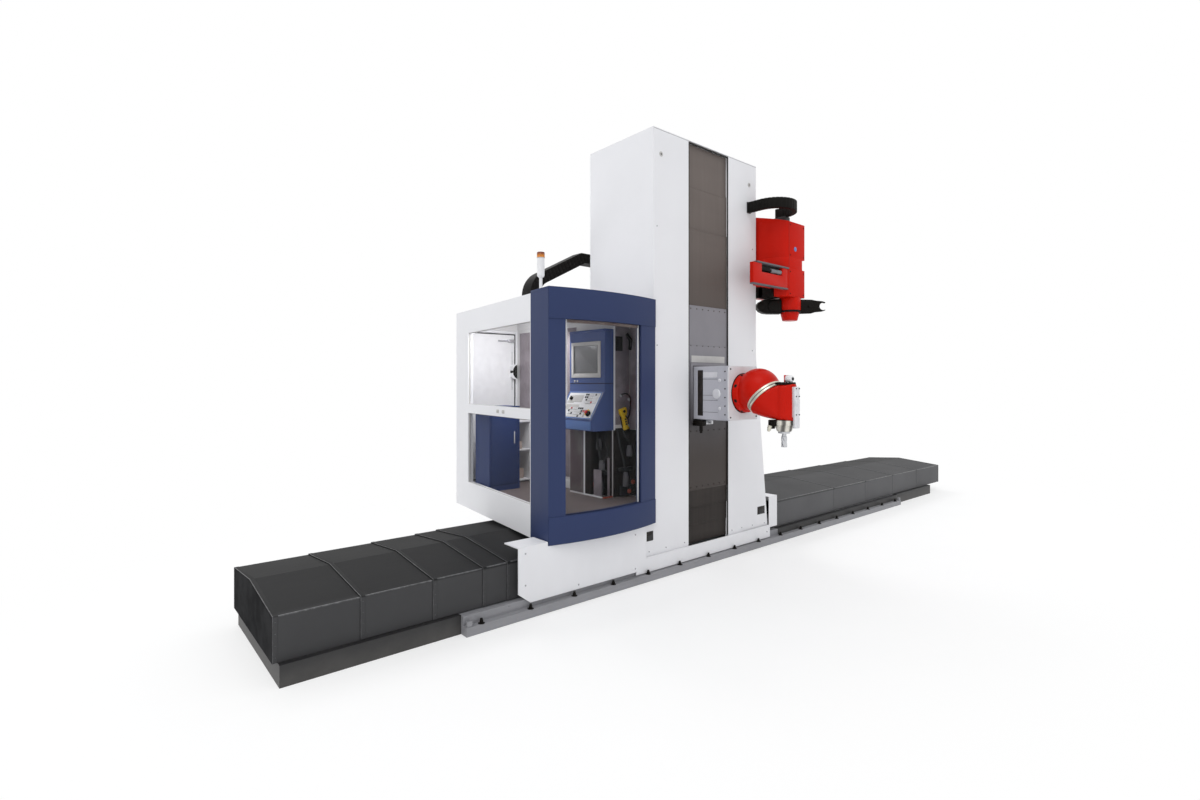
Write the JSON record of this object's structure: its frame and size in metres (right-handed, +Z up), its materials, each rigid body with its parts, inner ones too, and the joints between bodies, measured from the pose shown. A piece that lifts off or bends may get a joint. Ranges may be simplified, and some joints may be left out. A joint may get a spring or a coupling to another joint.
{
  "type": "travelling column milling machine",
  "caption": "Travelling column milling machine: long covered bed, tall column with operator cabin, horizontal ram with a swivelling universal milling head, and a tool changer.",
  "frame": {"origin": "on the floor under the ram axis, in the plane of the column's front face, on the underside of the front levelling rail", "axes": "+X along the bed to the right, -Y towards the workpiece and the operator, +Z up"},
  "size_m": [12.388, 3.745, 5.127],
  "materials": {
    "cast_iron": "machined casting, matt",
    "rail_paint": "light grey paint, satin",
    "black_steel": "black oxide, satin",
    "dark_paint": "dark grey paint, satin",
    "ground_steel": "ground steel",
    "white_paint": "white powder coat, satin",
    "slot_sheet": "dark brown-grey sheet, satin",
    "brushed_plate": "brushed plate",
    "machined_iron": "machined, satin",
    "cabin_floor": "brown-grey tread, matt",
    "blue_paint": "dark blue powder coat, satin",
    "console_paint": "blue powder coat, satin",
    "grey_paint": "light grey paint, satin",
    "cabin_glass": "clear laminated glass",
    "grey_plastic": "grey moulding, matt",
    "red_plastic": "red moulding, gloss",
    "black_plastic": "black moulding, matt",
    "white_plastic": "white tube with amber lens",
    "red_paint": "signal red enamel, gloss",
    "cover_sheet": "dark grey steel sheet, satin"
  },
  "bodies": {
    "bed": {"bed_casting": "cast_iron", "levelling_rails": "rail_paint", "levelling_screws": "black_steel", "end_plinths": "dark_paint", "linear_rails": "ground_steel", "x_ball_screw": "ground_steel", "left_cover_1": "cover_sheet", "right_cover_1": "cover_sheet"},
    "column": {"saddle": "cast_iron", "guide_blocks": "ground_steel", "column_casting": "cast_iron", "column_left_cladding": "white_paint", "column_right_cladding": "white_paint", "column_top_cover": "white_paint", "front_skirt": "white_paint", "saddle_end_box": "white_paint", "lift_screws": "ground_steel", "fixed_slot_plates": "slot_sheet", "cabin_floor": "cabin_floor", "cabin_roof": "white_paint", "cabin_front_frame": "blue_paint", "cabin_side_frame": "white_paint", "cabin_rear_frame": "white_paint", "cabin_glass": "cabin_glass", "cabin_inner_wall": "grey_paint", "console_housing": "console_paint", "console_screen": "grey_plastic", "console_keypad": "grey_plastic", "tool_cabinet": "blue_paint", "stack_light": "white_plastic", "cable_chain": "black_plastic", "left_cover_5": "cover_sheet", "right_cover_5": "cover_sheet", "changer_rails": "ground_steel", "changer_chain": "black_plastic"},
    "carriage": {"ram_saddle": "cast_iron", "carriage_plate": "brushed_plate"},
    "ram": {"ram": "machined_iron"},
    "head": {"head_flange_half": "red_paint", "swivel_ring": "ground_steel"},
    "spindle_head": {"head_spindle_half": "red_paint", "spindle_quill": "ground_steel"},
    "spindle": {"spindle_shaft": "ground_steel", "end_mill": "ground_steel"},
    "changer": {"changer_housing": "red_paint"},
    "changer_arm": {"changer_rotor": "red_paint", "changer_arms": "black_steel"},
    "door": {"cabin_door": "grey_paint"},
    "stop_button": {"emergency_stop": "red_plastic"},
    "knob": {"override_knob": "black_plastic"},
    "left_box_2": {"left_cover_2": "cover_sheet"},
    "right_box_2": {"right_cover_2": "cover_sheet"},
    "left_box_3": {"left_cover_3": "cover_sheet"},
    "right_box_3": {"right_cover_3": "cover_sheet"},
    "left_box_4": {"left_cover_4": "cover_sheet"},
    "right_box_4": {"right_cover_4": "cover_sheet"},
    "upper_plate_2": {"upper_slot_plate_2": "slot_sheet"},
    "upper_plate_3": {"upper_slot_plate_3": "slot_sheet"},
    "lower_plate_2": {"lower_slot_plate_2": "slot_sheet"},
    "lower_plate_3": {"lower_slot_plate_3": "slot_sheet"}
  },
  "joints": [
    {"name": "x_travel", "type": "slide", "parent": "bed", "child": "column", "axis": [1, 0, 0], "range_m": [-0.6, 4.1]},
    {"name": "lift", "type": "slide", "parent": "column", "child": "carriage", "axis": [0, 0, 1], "range_m": [-0.6, 1.45]},
    {"name": "ram_feed", "type": "slide", "parent": "carriage", "child": "ram", "axis": [0, -1, 0], "range_m": [-0.25, 0.9]},
    {"name": "head_turn", "type": "hinge", "parent": "ram", "child": "head", "pos_m": [0, -0.5, 2.087], "axis": [0, -1, 0], "range_deg": [-180, 180]},
    {"name": "head_swivel", "type": "hinge", "parent": "head", "child": "spindle_head", "pos_m": [0, -0.82, 2.045], "axis": [0, -0.7071, -0.7071], "range_deg": [-180, 180]},
    {"name": "spindle_turn", "type": "hinge", "parent": "spindle_head", "child": "spindle", "pos_m": [0, -1.055, 1.7], "axis": [0, 0, 1], "continuous": true},
    {"name": "changer_shift", "type": "slide", "parent": "column", "child": "changer", "axis": [0, -1, 0], "range_m": [0, 0.4]},
    {"name": "changer_turn", "type": "hinge", "parent": "changer", "child": "changer_arm", "pos_m": [1.376, -0.274, 3.2], "axis": [0, 0, 1], "range_deg": [0, 180]},
    {"name": "door_swing", "type": "hinge", "parent": "column", "child": "door", "pos_m": [-2.096, 2.48, 1.9], "axis": [0, 0, 1], "range_deg": [0, 100]},
    {"name": "stop_push", "type": "slide", "parent": "column", "child": "stop_button", "axis": [0.8552, 0, -0.5183], "range_m": [0, 0.006], "stiffness_N_per_m": 1200},
    {"name": "knob_turn", "type": "hinge", "parent": "column", "child": "knob", "pos_m": [-1.45905, 0.91, 2.02806], "axis": [-0.8552, 0, 0.5183], "range_deg": [-150, 150]},
    {"name": "left_cover_2_slide", "type": "slide", "parent": "bed", "child": "left_box_2", "axis": [1, 0, 0], "range_m": [-0.15, 1.025]},
    {"name": "left_cover_3_slide", "type": "slide", "parent": "bed", "child": "left_box_3", "axis": [1, 0, 0], "range_m": [-0.3, 2.05]},
    {"name": "left_cover_4_slide", "type": "slide", "parent": "bed", "child": "left_box_4", "axis": [1, 0, 0], "range_m": [-0.45, 3.075]},
    {"name": "right_cover_2_slide", "type": "slide", "parent": "bed", "child": "right_box_2", "axis": [1, 0, 0], "range_m": [-0.15, 1.025]},
    {"name": "right_cover_3_slide", "type": "slide", "parent": "bed", "child": "right_box_3", "axis": [1, 0, 0], "range_m": [-0.3, 2.05]},
    {"name": "right_cover_4_slide", "type": "slide", "parent": "bed", "child": "right_box_4", "axis": [1, 0, 0], "range_m": [-0.45, 3.075]},
    {"name": "upper_plate_2_slide", "type": "slide", "parent": "column", "child": "upper_plate_2", "axis": [0, 0, 1], "range_m": [-0.2001, 0.4834]},
    {"name": "upper_plate_3_slide", "type": "slide", "parent": "column", "child": "upper_plate_3", "axis": [0, 0, 1], "range_m": [-0.4001, 0.9668]},
    {"name": "lower_plate_2_slide", "type": "slide", "parent": "column", "child": "lower_plate_2", "axis": [0, 0, 1], "range_m": [-0.2001, 0.4834]},
    {"name": "lower_plate_3_slide", "type": "slide", "parent": "column", "child": "lower_plate_3", "axis": [0, 0, 1], "range_m": [-0.4001, 0.9668]}
  ],
  "couplings": [
    {"joint": "left_cover_2_slide", "follows": "x_travel", "ratio": 0.25},
    {"joint": "left_cover_3_slide", "follows": "x_travel", "ratio": 0.5},
    {"joint": "left_cover_4_slide", "follows": "x_travel", "ratio": 0.75},
    {"joint": "right_cover_2_slide", "follows": "x_travel", "ratio": 0.25},
    {"joint": "right_cover_3_slide", "follows": "x_travel", "ratio": 0.5},
    {"joint": "right_cover_4_slide", "follows": "x_travel", "ratio": 0.75},
    {"joint": "upper_plate_2_slide", "follows": "lift", "ratio": 0.33333},
    {"joint": "upper_plate_3_slide", "follows": "lift", "ratio": 0.66667},
    {"joint": "lower_plate_2_slide", "follows": "lift", "ratio": 0.33333},
    {"joint": "lower_plate_3_slide", "follows": "lift", "ratio": 0.66667}
  ]
}
